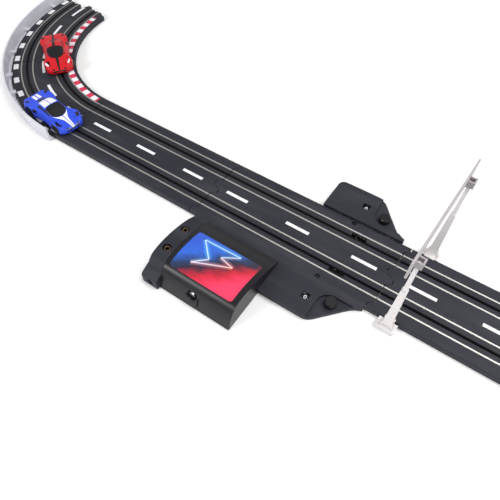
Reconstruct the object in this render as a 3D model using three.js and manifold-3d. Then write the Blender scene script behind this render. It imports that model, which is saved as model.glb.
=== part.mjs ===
// Two-lane slot car track set: five clip-together track modules, a battery power base
// with a lap counter for each lane, a start gantry, curve guard rails and two cars.
// Millimetres, +Z up. The straights run along +X, and the table is at z = 0.

import * as THREE from 'three';
import { mergeVertices } from 'three/addons/utils/BufferGeometryUtils.js';
import Module from 'manifold-3d';

const wasm = await Module();
wasm.setup();

// ---------- driving dimensions ----------

const MODULE_LENGTH = 190;        // one straight, joint to joint
const TRACK_WIDTH = 78;
const LANE = 20;                  // slot centre from the track's centreline
const CURVE_RADIUS = 176;         // centreline of a curve
const CURVE_ANGLE = Math.PI / 4;
const CURVE_LENGTH = CURVE_RADIUS * CURVE_ANGLE;
const CURVE_STEPS = 12;

const DECK_TOP = 6;
const DECK_THICK = 2;
const WALL = 2;
const EDGE = 0.7;                 // chamfer along the deck's outer edges
const SLOT_WIDTH = 3;
const SLOT_FLOOR = 2.2;
const TROUGH_WALL = 1.2;
const RAIL_OFFSET = 7;            // a rail's centre from its slot
const RAIL_WIDTH = 1.4;
const RAIL_PROUD = 0.35;
const RAIL_DEPTH = 1.3;           // how far a rail sits down in the deck
const FIT = 0.3;                  // clearance between neighbouring pieces

const TAB = 4.8;                  // reach of a joint's tongues
const JOINT_GAP = 0.4;

const BOX_LEFT = 6.8;             // power base, measured from its first joint
const BAND_RIGHT = 22;            // seam between the socket band and the battery cover
const BOX_RIGHT = 101.4;
const BOX_REAR = -44;
const BOX_FRONT = -120.4;
const SHELL = 1.6;
const BAND_LEAN = 4.6;           // the band leans this far along X in 60 mm of its depth

const WING_EDGE = 76.5;           // outer edge of a counter wing from the centreline
const PLATE_TOP = 9;              // raised counter plate on the far wing

const KNOB = [159.5, 53.3];
const WHEEL = [143.5, 53];
const WINDOW = [138, 58.6];
const PIVOT = [136.8, 35.6];
const WHEEL_TEETH = 24;
const PINION_TEETH = 8;

const GANTRY_X = MODULE_LENGTH + 19;
const POST_Y = 45;
const GANTRY_HEIGHT = 101;
const BANNER_LENGTH = 117;

const WHEELBASE = 46;
const PIN_AHEAD = 21;             // guide pin ahead of the middle of a car

// ---------- solids: closed meshes cut and joined ----------

function solid(geometry) {
  const bare = geometry.index ? geometry.toNonIndexed() : geometry.clone();
  bare.deleteAttribute('normal');
  bare.deleteAttribute('uv');
  const merged = mergeVertices(bare, 1e-4);
  return new wasm.Manifold(new wasm.Mesh({
    numProp: 3,
    vertProperties: new Float32Array(merged.attributes.position.array),
    triVerts: new Uint32Array(merged.index.array),
  }));
}

function geometryOf(manifold) {
  const mesh = manifold.getMesh();
  const geometry = new THREE.BufferGeometry();
  geometry.setAttribute('position', new THREE.BufferAttribute(mesh.vertProperties, 3));
  geometry.setIndex(new THREE.BufferAttribute(mesh.triVerts, 1));
  geometry.computeVertexNormals();
  return geometry;
}

const join = (first, ...others) => others.reduce((whole, part) => whole.add(part), first);
const cut = (first, ...others) => others.reduce((whole, part) => whole.subtract(part), first);

// A box given by its lowest and highest corners.
function block(x0, x1, y0, y1, z0, z1) {
  const geometry = new THREE.BoxGeometry(x1 - x0, y1 - y0, z1 - z0);
  geometry.translate((x0 + x1) / 2, (y0 + y1) / 2, (z0 + z1) / 2);
  return solid(geometry);
}

// An upright round bar.
function post(x, y, radius, z0, z1, sides = 20, topRadius = radius) {
  const geometry = new THREE.CylinderGeometry(topRadius, radius, z1 - z0, sides);
  geometry.rotateX(Math.PI / 2);
  geometry.translate(x, y, (z0 + z1) / 2);
  return solid(geometry);
}

// A round bar along Y (axles, sockets) or along X (cells).
function barY(x, z, radius, y0, y1, sides = 20) {
  const geometry = new THREE.CylinderGeometry(radius, radius, y1 - y0, sides);
  geometry.translate(x, (y0 + y1) / 2, z);
  return solid(geometry);
}

function barX(y, z, radius, x0, x1, sides = 20) {
  const geometry = new THREE.CylinderGeometry(radius, radius, x1 - x0, sides);
  geometry.rotateZ(-Math.PI / 2);
  geometry.translate((x0 + x1) / 2, y, z);
  return solid(geometry);
}

// A plan outline (x, y) raised from z0 to z1.
function prism(points, z0, z1) {
  const shape = new THREE.Shape(points.map(([x, y]) => new THREE.Vector2(x, y)));
  const geometry = new THREE.ExtrudeGeometry(shape, { depth: z1 - z0, bevelEnabled: false });
  geometry.translate(0, 0, z0);
  return solid(geometry);
}

// How far a leaning face has moved along X at a depth y of the battery box.
const leaned = (y) => BAND_LEAN * (BOX_REAR - y) / 60;

// A side outline (y, z) carried along X. Either end face can lean with the socket band.
function slab(points, x0, x1, leanLeft = false, leanRight = false) {
  const shape = new THREE.Shape(points.map(([y, z]) => new THREE.Vector2(y, z)));
  const geometry = new THREE.ExtrudeGeometry(shape, { depth: x1 - x0, bevelEnabled: false });
  geometry.applyMatrix4(new THREE.Matrix4().set(0, 0, 1, x0, 1, 0, 0, 0, 0, 1, 0, 0, 0, 0, 0, 1));
  const position = geometry.attributes.position;
  for (let i = 0; i < position.count; i += 1) {
    const atLeft = position.getX(i) < (x0 + x1) / 2;
    if (atLeft ? leanLeft : leanRight) position.setX(i, position.getX(i) + leaned(position.getY(i)));
  }
  return solid(geometry);
}

// A side outline (x, z) carried along Y.
function plank(points, y0, y1) {
  const shape = new THREE.Shape(points.map(([x, z]) => new THREE.Vector2(x, z)));
  const geometry = new THREE.ExtrudeGeometry(shape, { depth: y1 - y0, bevelEnabled: false });
  geometry.rotateX(Math.PI / 2);
  geometry.translate(0, y1, 0);
  return solid(geometry);
}

// A solid of revolution about an upright axis: profile points are (radius, z).
function turned(profile, x, y, sides = 20) {
  const points = profile.map(([radius, z]) => new THREE.Vector2(radius, z));
  const geometry = new THREE.LatheGeometry(points, sides);
  geometry.rotateX(Math.PI / 2);
  geometry.translate(x, y, 0);
  return solid(geometry);
}

// ---------- the path that the track follows ----------

// s runs along the centreline from the power base's first joint; y is across the track.
function along(s, y) {
  const past = -MODULE_LENGTH - s;
  if (past <= 0) return [s, y];
  const angle = past / CURVE_RADIUS;
  const radius = CURVE_RADIUS - y;
  return [-MODULE_LENGTH - radius * Math.sin(angle), CURVE_RADIUS - radius * Math.cos(angle)];
}

// A cross-section (y, z) carried along the path from s0 to s1.
function swept(section, s0, s1) {
  const shape = new THREE.Shape(section.map(([y, z]) => new THREE.Vector2(y, z)));
  const stations = [s0];
  for (let i = 2 * CURVE_STEPS; i >= 0; i -= 1) {
    const s = -MODULE_LENGTH - CURVE_LENGTH * i / CURVE_STEPS;
    if (s > s0 + 0.1 && s < s1 - 0.1) stations.push(s);
  }
  stations.push(s1);
  const steps = stations.length - 1;
  const geometry = new THREE.ExtrudeGeometry(shape, { depth: steps, steps, bevelEnabled: false });
  const position = geometry.attributes.position;
  for (let i = 0; i < position.count; i += 1) {
    const y = position.getX(i);
    const z = position.getY(i);
    const [px, py] = along(stations[Math.round(position.getZ(i))], y);
    position.setXYZ(i, px, py, z);
  }
  return solid(geometry);
}

// ---------- track modules ----------

const HALF = TRACK_WIDTH / 2;

// The joint line that two modules share, from the near edge to the far edge: (offset, y).
const JOINT_LINE = [
  [-TAB, -HALF - 1], [-TAB, -35], [0, -31], [0, -10], [TAB, -7.4], [TAB, -2.4],
  [-TAB, 2.4], [-TAB, 7.4], [0, 10], [0, 31], [TAB, 35], [TAB, HALF + 1],
];

// The deck with its two slots, four rail grooves and two side walls.
function deckSection() {
  const under = DECK_TOP - DECK_THICK;
  const groove = RAIL_WIDTH / 2 + 0.1;
  const grooveFloor = DECK_TOP - RAIL_DEPTH - 0.1;
  const top = [];
  const bottom = [];
  for (const lane of [-LANE, LANE]) {
    const half = SLOT_WIDTH / 2;
    const wall = half + TROUGH_WALL;
    for (const rail of [lane - RAIL_OFFSET, lane + RAIL_OFFSET]) {
      const recess = [[rail - groove, DECK_TOP], [rail - groove, grooveFloor],
        [rail + groove, grooveFloor], [rail + groove, DECK_TOP]];
      if (rail > lane) {
        top.push([lane - half, DECK_TOP], [lane - half, SLOT_FLOOR],
          [lane + half, SLOT_FLOOR], [lane + half, DECK_TOP]);
      }
      top.push(...recess);
    }
    bottom.push([lane - wall, under], [lane - wall, SLOT_FLOOR - TROUGH_WALL],
      [lane + wall, SLOT_FLOOR - TROUGH_WALL], [lane + wall, under]);
  }
  return [
    [-HALF, 0], [-HALF + WALL, 0], [-HALF + WALL, under], ...bottom, [HALF - WALL, under],
    [HALF - WALL, 0], [HALF, 0], [HALF, DECK_TOP - EDGE], [HALF - EDGE, DECK_TOP], ...top.reverse(),
    [-HALF + EDGE, DECK_TOP], [-HALF, DECK_TOP - EDGE],
  ];
}

// Plan outline between two joints, with the tongues of each.
function moduleOutline(s0, s1) {
  const line = (s, gap) => JOINT_LINE.map(([offset, y]) => along(s + offset + gap, y));
  const curved = s0 < -MODULE_LENGTH;
  const steps = curved ? CURVE_STEPS : 1;
  const side = (y, from, to) => {
    const points = [];
    for (let i = 1; i < steps; i += 1) {
      points.push(along(from + (to - from) * i / steps, y));
    }
    return points;
  };
  const wide = HALF + 1;
  return [
    ...line(s1, -JOINT_GAP),
    ...side(wide, s1, s0),
    ...line(s0, JOINT_GAP).reverse(),
    ...side(-wide, s0, s1),
  ];
}

function plainDeck(s0, s1) {
  const reach = TAB + 2;
  const fullSection = swept(deckSection(), s0 - reach, s1 + reach);
  const outline = prism(moduleOutline(s0, s1), -1, DECK_TOP + 1);
  return fullSection.intersect(outline);
}

const RAIL_LINES = [-LANE - RAIL_OFFSET, -LANE + RAIL_OFFSET, LANE - RAIL_OFFSET, LANE + RAIL_OFFSET];
const PRONG_LENGTH = 4;
const TIE_TOP = 0.8;

// Two places on each module where the rails' prongs pass down through the deck.
const prongPlaces = (s0, s1) => [s0 + (s1 - s0) * 0.2, s0 + (s1 - s0) * 0.8];

function railBlade(y, s0, s1) {
  const half = RAIL_WIDTH / 2;
  const low = DECK_TOP - RAIL_DEPTH;
  const high = DECK_TOP + RAIL_PROUD;
  const section = [[y - half, low], [y + half, low], [y + half, high], [y - half, high]];
  return swept(section, s0 + 0.4, s1 - 0.4);
}

function prong(y, s, spare, low, high) {
  const half = RAIL_WIDTH / 2 + spare;
  const section = [[y - half, low], [y + half, low], [y + half, high], [y - half, high]];
  return swept(section, s - PRONG_LENGTH / 2 - spare, s + PRONG_LENGTH / 2 + spare);
}

function prongHoles(s0, s1) {
  const holes = [];
  for (const s of prongPlaces(s0, s1)) {
    for (const y of RAIL_LINES) holes.push(prong(y, s, FIT, 3, DECK_TOP - 1));
  }
  return holes;
}

function oneRail(y, s0, s1, low) {
  const prongs = prongPlaces(s0, s1).map((s) => prong(y, s, 0, low, DECK_TOP - RAIL_DEPTH + 0.2));
  return join(railBlade(y, s0, s1), ...prongs);
}

// The four rails of a plain module, tied under the deck by two thin straps.
function railSet(s0, s1) {
  const low = 0.2;
  const rails = RAIL_LINES.map((y) => oneRail(y, s0, s1, low));
  const reach = LANE + RAIL_OFFSET + 0.5;
  const section = [[-reach, low], [reach, low], [reach, TIE_TOP], [-reach, TIE_TOP]];
  const ties = prongPlaces(s0, s1).map((s) => swept(section, s - 1.2, s + 1.2));
  return join(ties[0], ...rails, ties[1]);
}

// ---------- power base ----------

const mirrorY = (side, [x, y]) => [x, side * y];

// The arched back of the battery box, rear to front: (y, z) of the outer skin.
function archPoints(inset) {
  const knots = [
    [BOX_REAR, 8], [-50, 11.6], [-56, 14.8], [-64, 18], [-73, 21], [-82, 23.2], [-91, 24.7],
    [-99, 25.2], [-105, 24.8], [-109.5, 23.2], [-113, 20], [-116, 14.5], [-118.6, 7], [BOX_FRONT, 0.6],
  ];
  const path = knots.map(([y, z]) => new THREE.Vector3(y, z, 0));
  const curve = new THREE.CatmullRomCurve3(path, false, 'centripetal');
  const outer = curve.getPoints((knots.length - 1) * 3).map((point) => [point.x, point.y]);
  if (inset === 0) return outer;
  return outer.map(([y, z], i) => {
    const before = outer[Math.max(0, i - 1)];
    const after = outer[Math.min(outer.length - 1, i + 1)];
    const dy = after[0] - before[0];
    const dz = after[1] - before[1];
    const length = Math.hypot(dy, dz);
    return [y - inset * dz / length, z + inset * dy / length];
  });
}

// One counter wing's outline in plan, drawn in by inset; side is -1 for the near wing.
function wingOutline(side, inset, left = BOX_RIGHT - 3) {
  const lean = inset * 1.2;
  const corner = left < BOX_RIGHT ? [[left + inset, WING_EDGE - inset]] : [0, 1, 2, 3, 4].map((i) => {
    const angle = Math.PI - i * Math.PI / 8;
    const radius = 6 - inset;
    return [left + 6 + radius * Math.cos(angle), WING_EDGE - 6 + radius * Math.sin(angle)];
  });
  return [
    [left + inset, HALF - 1], ...corner, [144 - inset * 0.3, WING_EDGE - inset],
    [147.6 - inset * 0.4, 76 - inset], [150.6 - lean * 0.6, 74.6 - inset], [153.4 - lean, 72.2 - inset * 0.5],
    [172 - lean, 51 - inset * 0.5], [175.4 - lean, 47.4 - inset * 0.5], [179 - lean, 44.6 - inset * 0.4],
    [182 - lean, 43 - inset * 0.3], [184.6 - lean, 41.8 - inset * 0.3], [184.6 - lean, HALF - 1],
  ].map((point) => mirrorY(side, point));
}

// The corner of a wing that is lowered around the reset knob.
function knobPocket(side, spare = 0) {
  const radius = 12 + spare;
  const points = [[160 - radius, 80]];
  for (let i = 0; i <= 6; i += 1) {
    const angle = Math.PI + i * Math.PI / 12;
    points.push([160 + radius * Math.cos(angle), 57.5 + radius * Math.sin(angle)]);
  }
  points.push([190, 45.5 - spare], [190, 80]);
  return points.map((point) => mirrorY(side, point));
}

function gear([x, y], teeth, pitchRadius, phase, z0, z1, size = 1) {
  const tip = pitchRadius + 0.6 * size;
  const root = pitchRadius - size;
  const pitch = 2 * Math.PI / teeth;
  const points = [];
  for (let i = 0; i < teeth; i += 1) {
    const middle = phase + i * pitch;
    for (const [radius, turn] of [[root, -0.3], [tip, -0.1], [tip, 0.1], [root, 0.3]]) {
      const angle = middle + turn * pitch;
      points.push([x + radius * Math.cos(angle), y + radius * Math.sin(angle)]);
    }
  }
  return prism(points, z0, z1);
}

const WHEEL_PITCH_RADIUS = (KNOB[0] - WHEEL[0]) * WHEEL_TEETH / (WHEEL_TEETH + PINION_TEETH);
const PINION_PITCH_RADIUS = WHEEL_PITCH_RADIUS * PINION_TEETH / WHEEL_TEETH;
const NEAR_GEARS = [1.5, 2.7];    // height of a counter's gears on each wing
const FAR_GEARS = [4.7, 5.9];

function counterWheel(side, [z0, z1]) {
  const centre = mirrorY(side, WHEEL);
  const knob = mirrorY(side, KNOB);
  const facing = Math.atan2(knob[1] - centre[1], knob[0] - centre[0]);
  const phase = facing + Math.PI / WHEEL_TEETH;
  const disc = gear(centre, WHEEL_TEETH, WHEEL_PITCH_RADIUS, phase, z0, z1);
  return cut(disc, post(...centre, 1.6, z0 - 1, z1 + 1, 12));
}

function resetKnob(side, [z0, z1], floor, top) {
  const centre = mirrorY(side, KNOB);
  const wheel = mirrorY(side, WHEEL);
  const facing = Math.atan2(wheel[1] - centre[1], wheel[0] - centre[0]);
  return join(
    post(...centre, 5.4, floor, top - 0.8, 28),
    post(...centre, 5.4, top - 0.8, top, 28, 4.7),
    post(...centre, 1.5, z1 - 0.2, floor + 0.2, 12),
    gear(centre, PINION_TEETH, PINION_PITCH_RADIUS, facing, z0, z1),
  );
}

const LEVER_LEVEL = [2.6, 3.6];
const FINGER = [146.4, 20.8];

function tripLever(side) {
  const [px, py] = PIVOT;
  const [low, high] = LEVER_LEVEL;
  const arm = [[px - 1.2, py + 1], [px + 1.4, py - 2.2], [FINGER[0] - 1.1, FINGER[1] + 1.4],
    [FINGER[0] - 1.1, FINGER[1] - 1.1], [FINGER[0] + 1.1, FINGER[1] - 1.1],
    [FINGER[0] + 1.1, FINGER[1] + 1.4], [px + 2, py + 2]];
  const pawl = [[px - 1, py], [px + 1.2, py], [px + 1.6, py + 3.4], [px + 0.4, py + 3.6]];
  return join(
    post(px, side * py, 2.5, low, high, 16),
    post(px, side * py, 1.5, high - 0.2, 5.4, 16),
    prism(arm.map((point) => mirrorY(side, point)), low, high),
    prism(pawl.map((point) => mirrorY(side, point)), low, high),
    block(FINGER[0] - 1, FINGER[0] + 1, ...span(side, FINGER[1] - 1, FINGER[1] + 1), high - 0.2, 5.2),
  );
}

const TRIP_SPAN = [140.8, 156];
const TRIP_WIDTH = [18.4, 25.4];

const span = (side, low, high) => (side > 0 ? [low, high] : [-high, -low]);

// What a lane's counter needs cut away: the trip's opening, its pivot, and its way to the wheel.
function counterCuts(side) {
  return [
    block(...TRIP_SPAN, ...span(side, ...TRIP_WIDTH), -1, DECK_TOP + 1),
    post(...mirrorY(side, PIVOT), 2.4, 3, DECK_TOP + 1, 16),
    block(PIVOT[0] - 4, PIVOT[0] + 7, ...span(side, HALF - WALL - 0.5, HALF + 1), -1, DECK_TOP - DECK_THICK),
  ];
}

const WINDOW_SIZE = [7.4, 6.6];

function windowHole(side, z0, z1) {
  const [x, y] = mirrorY(side, WINDOW);
  const [wide, deep] = WINDOW_SIZE;
  return block(x - wide / 2, x + wide / 2, y - deep / 2, y + deep / 2, z0, z1);
}

const JACKS = [[15.8, -68], [18.6, -95.5]];
const JACK_TOPS = [18.2, 23.6];
const JACK_BODY_TOPS = [14.6, 21];
const JACK_HOLE = 4.1;

const DC_SOCKET = [19, 5.6];      // x and z of the low-voltage inlet
const DC_FRONT = -123.4;
const DC_LEFT = 10.4;
const DC_RIGHT = 26.8;
const SCREW = [61.25, 14];        // x and z of the battery cover's screw

// Socket band: a hollow arch with the jacks' holes, and the inlet's housing at its foot.
function socketBand() {
  const outer = [[BOX_REAR + 1, 0], [BOX_REAR + 1, 8], ...archPoints(0), [BOX_FRONT, 0]];
  const inner = [[BOX_REAR - 1.2, -1], ...archPoints(SHELL).slice(0, -1), [BOX_FRONT + SHELL + 0.2, -1]];
  const shell = cut(
    slab(outer, BOX_LEFT, BAND_RIGHT, true, true),
    slab(inner, BOX_LEFT + SHELL, BAND_RIGHT - SHELL, true, true),
  );
  const housing = slab([[-107, 0], [-107, 17.6], [-110.5, 17.2], [-114, 16], [-120.8, 12.9], [-122.6, 11.6],
    [DC_FRONT, 9.8], [DC_FRONT, 0]], DC_LEFT, DC_RIGHT);
  const hollow = block(DC_LEFT + SHELL, DC_RIGHT - SHELL, -120.2, -108.6, -1, 11.2);
  const mouth = barY(DC_SOCKET[0], DC_SOCKET[1], 3.1, DC_FRONT - 1, -118, 24);
  const holes = JACKS.map(([x, y]) => post(x, y, JACK_HOLE, 8, 30, 24));
  const underWall = block(BAND_RIGHT - SHELL - 1, BAND_RIGHT + 6, -106.8, BOX_REAR - 1.4, -1, 1.3);
  return cut(join(shell, housing), hollow, mouth, underWall, ...holes);
}

function powerBase() {
  const near = -1;
  const far = 1;
  const deck = plainDeck(0, MODULE_LENGTH);
  const margin = block(BOX_LEFT + 0.4, BOX_RIGHT - 1, BOX_REAR + 0.4, -HALF + 1,
    DECK_TOP - DECK_THICK, DECK_TOP);
  const nearWing = cut(
    prism(wingOutline(near, 0), 0, DECK_TOP),
    prism(wingOutline(near, WALL, BOX_RIGHT - 8), -1, DECK_TOP - DECK_THICK),
  );
  const farWalls = cut(
    prism(wingOutline(far, 0, BOX_RIGHT), 0, DECK_TOP),
    prism(wingOutline(far, WALL, BOX_RIGHT), -1, DECK_TOP + 1),
  );
  const pocketFloor = 3;
  const pocket = prism(knobPocket(near), pocketFloor + 1, DECK_TOP + 1);
  const pocketBase = prism(knobPocket(near, 1.2), pocketFloor, pocketFloor + 1.6)
    .intersect(prism(wingOutline(near, 0.5), 0, DECK_TOP));
  const sill = block(BAND_RIGHT + 4, BOX_RIGHT - 1.9, -117.2, -116.3, 0, 4.2);
  const bayWall = block(BOX_RIGHT - 3.4, BOX_RIGHT - 1.9, -117.2, -HALF + 1, 1.3, 4.8);
  const ribs = [43.75, 61.25, 78.75].map((x) => block(x - 0.7, x + 0.7, -117, -58, 1.4, 5));
  const cradle = cut(
    join(
      block(SCREW[0] - 1.3, SCREW[0] + 1.3, -113.2, -110.4, 4.8, SCREW[1] - 2),
      block(SCREW[0] - 2.2, SCREW[0] + 2.2, -113.2, -110.4, SCREW[1] - 2.4, SCREW[1] + 1),
    ),
    block(SCREW[0] - 1.5, SCREW[0] + 1.5, -114, -110, SCREW[1] - 1.7, SCREW[1] + 2),
  );
  const stem = post(...mirrorY(near, WHEEL), 1.3, 1.3, DECK_TOP - 1, 12);
  const body = join(deck, margin, nearWing, farWalls, socketBand(), sill, bayWall, ...ribs, cradle, stem);
  return cut(
    join(cut(body, pocket), cut(pocketBase, pocket)),
    ...prongHoles(0, MODULE_LENGTH),
    ...counterCuts(near),
    ...counterCuts(far),
    windowHole(near, 3, DECK_TOP + 1),
    post(...mirrorY(near, KNOB), 2, 2, DECK_TOP, 16),
  );
}

// The raised roof of the far wing, lowered around its knob.
function counterPlate() {
  const far = 1;
  const low = DECK_TOP + 0.15;
  const floor = low + 1;
  const outline = wingOutline(far, 0, BOX_RIGHT).map(([x, y]) => [x, Math.max(y, HALF)]);
  const pocket = prism(knobPocket(far), floor, PLATE_TOP + 1);
  const stem = post(...mirrorY(far, WHEEL), 1.3, 4.9, low + 0.2, 12);
  return cut(
    join(prism(outline, low, PLATE_TOP), stem),
    pocket,
    windowHole(far, low - 1, PLATE_TOP + 1),
    post(...mirrorY(far, KNOB), 2, low - 1, PLATE_TOP, 16),
  );
}

function baseCover() {
  const side = -1;
  const wing = wingOutline(side, WALL + 0.4, BOX_RIGHT - 8).map(([x, y]) => [x, Math.min(y, -HALF - 0.6)]);
  return join(
    block(BOX_LEFT + 6.8, BAND_RIGHT + 8, -106.6, BOX_REAR - 1.6, 0, 1),
    block(DC_RIGHT + 1, BOX_RIGHT - 3.3, -115.8, -HALF - 0.6, 0, 1),
    prism(wing, 0, 1),
  );
}

function batteryCover() {
  const outer = archPoints(0);
  const inner = archPoints(SHELL).reverse();
  const foot = outer[outer.length - 1][1];
  const panelOutline = [...outer, [BOX_FRONT + SHELL, foot], ...inner.slice(1)];
  const panel = slab(panelOutline, BAND_RIGHT + FIT, BOX_RIGHT, true);
  const skirtFoot = -WING_EDGE - 0.5;
  const skirt = slab([...outer, [skirtFoot, foot], [skirtFoot, DECK_TOP + 0.4],
    [BOX_REAR, DECK_TOP + 0.4]], BOX_RIGHT - SHELL, BOX_RIGHT);
  const [x, z] = SCREW;
  const seat = slab([[-117.4, z - 5.4], [-113.5, z - 5.4], [-113.5, z + 4.4], [-113.75, z + 4.4]],
    x - 5.4, x + 5.4);
  const tab = slab([[-116.4, 12.8], [-117.4, 12.8], [-118.3, 11.6], [-120.3, 5], [-119.9, 4], [-118, 4]],
    x - 6.6, x + 6.6);
  const recess = barY(x, z, 4.7, -130, -114.8, 28);
  const shank = barY(x, z, 1.6, -130, -100, 12);
  return cut(join(panel, skirt, seat, tab), recess, shank);
}

function coverScrew() {
  const [x, z] = SCREW;
  return cut(
    join(barY(x, z, 2.9, -116.1, -115.1, 20), barY(x, z, 1.2, -115.3, -110.6, 12)),
    block(x - 2, x + 2, -117, -115.9, z - 0.35, z + 0.35),
    block(x - 0.35, x + 0.35, -117, -115.9, z - 2, z + 2),
  );
}

function controllerJack(index) {
  const [x, y] = JACKS[index];
  const top = JACK_TOPS[index];
  const shoulder = JACK_BODY_TOPS[index];
  return turned([[0, 6], [4.4, 6], [4.4, shoulder], [2.9, shoulder], [2.9, top - 0.3], [2.6, top],
    [2.1, top], [1.8, top - 0.4], [1.8, 8], [0, 8]], x, y, 28);
}

function inletJack() {
  const [x, z] = DC_SOCKET;
  const profile = [[0, -10.4], [3.6, -10.4], [3.6, 0], [2.7, 0], [2.7, -9], [0.8, -9], [0.8, -1.2], [0, -1.2]];
  const points = profile.map(([radius, depth]) => new THREE.Vector2(radius, depth));
  const geometry = new THREE.LatheGeometry(points, 20);
  geometry.rotateX(Math.PI);
  geometry.translate(x, -119.9, z);
  return solid(geometry);
}

const CELLS = [35, 52.5, 70, 87.5];
const CELL_RADIUS = 7;
const CELL_HEIGHT = 8.5;

function cell(x) {
  return join(
    barY(x, CELL_HEIGHT, CELL_RADIUS, -113.2, -64.4, 20),
    barY(x, CELL_HEIGHT, 2.6, -64.6, -63.3, 12),
  );
}

function contactSprings() {
  const plate = block(28, 94.4, -115.8, -115.4, 5.2, 8.6);
  const cones = CELLS.map((x) => {
    const geometry = new THREE.CylinderGeometry(1, 3, 2, 12);
    geometry.translate(x, -114.6, 7.6);
    return solid(geometry);
  });
  return join(plate, ...cones);
}

// ---------- gantry ----------

function gantryPost(side) {
  const y = side * POST_Y;
  const [low, high] = span(side, HALF + 0.9, POST_Y + 3.6);
  const lip = span(side, HALF - 1.8, HALF + 1.2);
  const column = [[-6.4, 0], [6.4, 0], [6.4, 5], [3.7, 13], [2.4, 62], [-2.4, 62], [-3.7, 13], [-6.4, 5]];
  return join(
    block(-8.4, 8.4, low, high, 0, 5),
    block(-4.6, 4.6, low, high, 4.8, 7.4),
    block(-4.6, 4.6, ...lip, DECK_TOP + 0.4, 7.4),
    plank(column, y - 2.2, y + 2.2),
    plank([[-1.7, 60], [1.7, 60], [1.5, GANTRY_HEIGHT - 3], [-1.5, GANTRY_HEIGHT - 3]], y - 1.6, y + 1.6),
  );
}

const BANNER_LOW = 93;

function banner() {
  const half = BANNER_LENGTH / 2;
  const top = BANNER_LOW + 17;
  const face = slab([[-half, BANNER_LOW], [half, BANNER_LOW], [half, top], [-half, top]], -3.7, -2.1);
  const brackets = [-1, 1].map((side) => cut(
    block(-3, 3.4, side * POST_Y - 3.4, side * POST_Y + 3.4, 95, 101),
    block(-2, 2, side * POST_Y - 2, side * POST_Y + 2, 94, 102),
  ));
  return join(face, ...brackets);
}

// ---------- guard rail along the outside of the curves ----------

const GUARD_TOP = 17.5;

function guardRail(start, end, clips) {
  const s0 = -MODULE_LENGTH - CURVE_RADIUS * end;
  const s1 = -MODULE_LENGTH - CURVE_RADIUS * start;
  const outer = -HALF - 6.8;
  const wall = swept([[outer, 0], [outer + 5.2, 0], [outer + 5.2, 2.4], [outer + 2.4, 3.4],
    [outer + 1.8, GUARD_TOP], [outer, GUARD_TOP]], s0, s1);
  const clipParts = clips.map((angle) => {
    const s = -MODULE_LENGTH - CURVE_RADIUS * angle;
    return swept([[outer + 1, 0], [-HALF - 0.6, 0], [-HALF - 0.6, DECK_TOP + 0.35],
      [-HALF + 1.6, DECK_TOP + 0.35], [-HALF + 1.6, DECK_TOP + 1.3], [outer + 1, DECK_TOP + 1.5]],
    s - 2.6, s + 2.6);
  });
  return join(wall, ...clipParts);
}

// ---------- cars ----------

const FRONT_AXLE = WHEELBASE / 2 + 1;
const REAR_AXLE = FRONT_AXLE - WHEELBASE;
const FRONT_RADIUS = 5.6;
const REAR_RADIUS = 6.2;
const WHEEL_LIFT = 0.5;
const AXLE_RADIUS = 1;
const DRIVE_HEIGHT = REAR_RADIUS + WHEEL_LIFT;
const CROWN_RADIUS = 3.9;
const CAR_TOOTH = 0.4;

function carShell() {
  const half = [[36.6, 0], [36.4, 6], [34.8, 11.5], [31, 15.4], [25, 17], [15, 16], [4, 14.6], [-8, 14.9],
    [-16, 16.8], [-24, 17.3], [-31, 16.6], [-35.4, 14], [-37.2, 9], [-37.4, 0]];
  const plan = [...half, ...half.slice(1, -1).reverse().map(([x, y]) => [x, -y])];
  const side = [[36.6, 2], [36.6, 5.4], [34, 8.4], [30, 11.2], [24.5, 13.1], [18.5, 13.5], [13.5, 13.4],
    [2.6, 18.4], [-2, 19.3], [-7, 19], [-14, 16.8], [-22, 14.8], [-32, 14.4], [-37.4, 13.2], [-37.4, 2]];
  const section = [[-17.4, 2], [-17.4, 10], [-14.5, 13.6], [-10.6, 14.4], [-8, 19.6], [8, 19.6], [10.6, 14.4],
    [14.5, 13.6], [17.4, 10], [17.4, 2]];
  return prism(plan, 0, 25).intersect(plank(side, -25, 25)).intersect(slab(section, -50, 50));
}

// The band of the shell that the windscreen fills, grown by spare for its opening.
function screenBand(spare) {
  const side = [[15.5 + spare, 12 - spare], [15.5 + spare, 15], [3, 22], [1.4 - spare, 22],
    [1.4 - spare, 16.6 - spare], [9.5, 12 - spare]];
  return plank(side, -8.6 - spare, 8.6 + spare);
}

function carBody() {
  const arches = [[FRONT_AXLE, FRONT_RADIUS], [REAR_AXLE, REAR_RADIUS]].flatMap(([x, radius]) => [
    barY(x, radius + WHEEL_LIFT, radius + 0.9, -20, -10.3, 20),
    barY(x, radius + WHEEL_LIFT, radius + 0.9, 10.3, 20, 20)]);
  return cut(
    carShell(),
    screenBand(FIT),
    block(-33, 32, -10.4, 10.4, 0, 6.6),
    block(REAR_AXLE - 6, FRONT_AXLE + 4, -10.4, 10.4, 6, 9.4),
    block(REAR_AXLE - 5, 9, -6.2, 6.2, 9, 11.8),
    ...arches,
  );
}

function windscreen() {
  return cut(carShell().intersect(screenBand(0)), block(-16, 9.3, -6.5, 6.5, 9, 12.1));
}

function bearing(x, z, hole) {
  return [-1, 1].map((side) => {
    const edges = [side * 7.6, side * 9.4].sort((a, b) => a - b);
    const web = block(x - 2.6, x + 2.6, ...edges, 2, z + 2.4);
    return hole > 0 ? cut(web, barY(x, z, hole, -12, 12, 16)) : web;
  });
}

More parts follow.
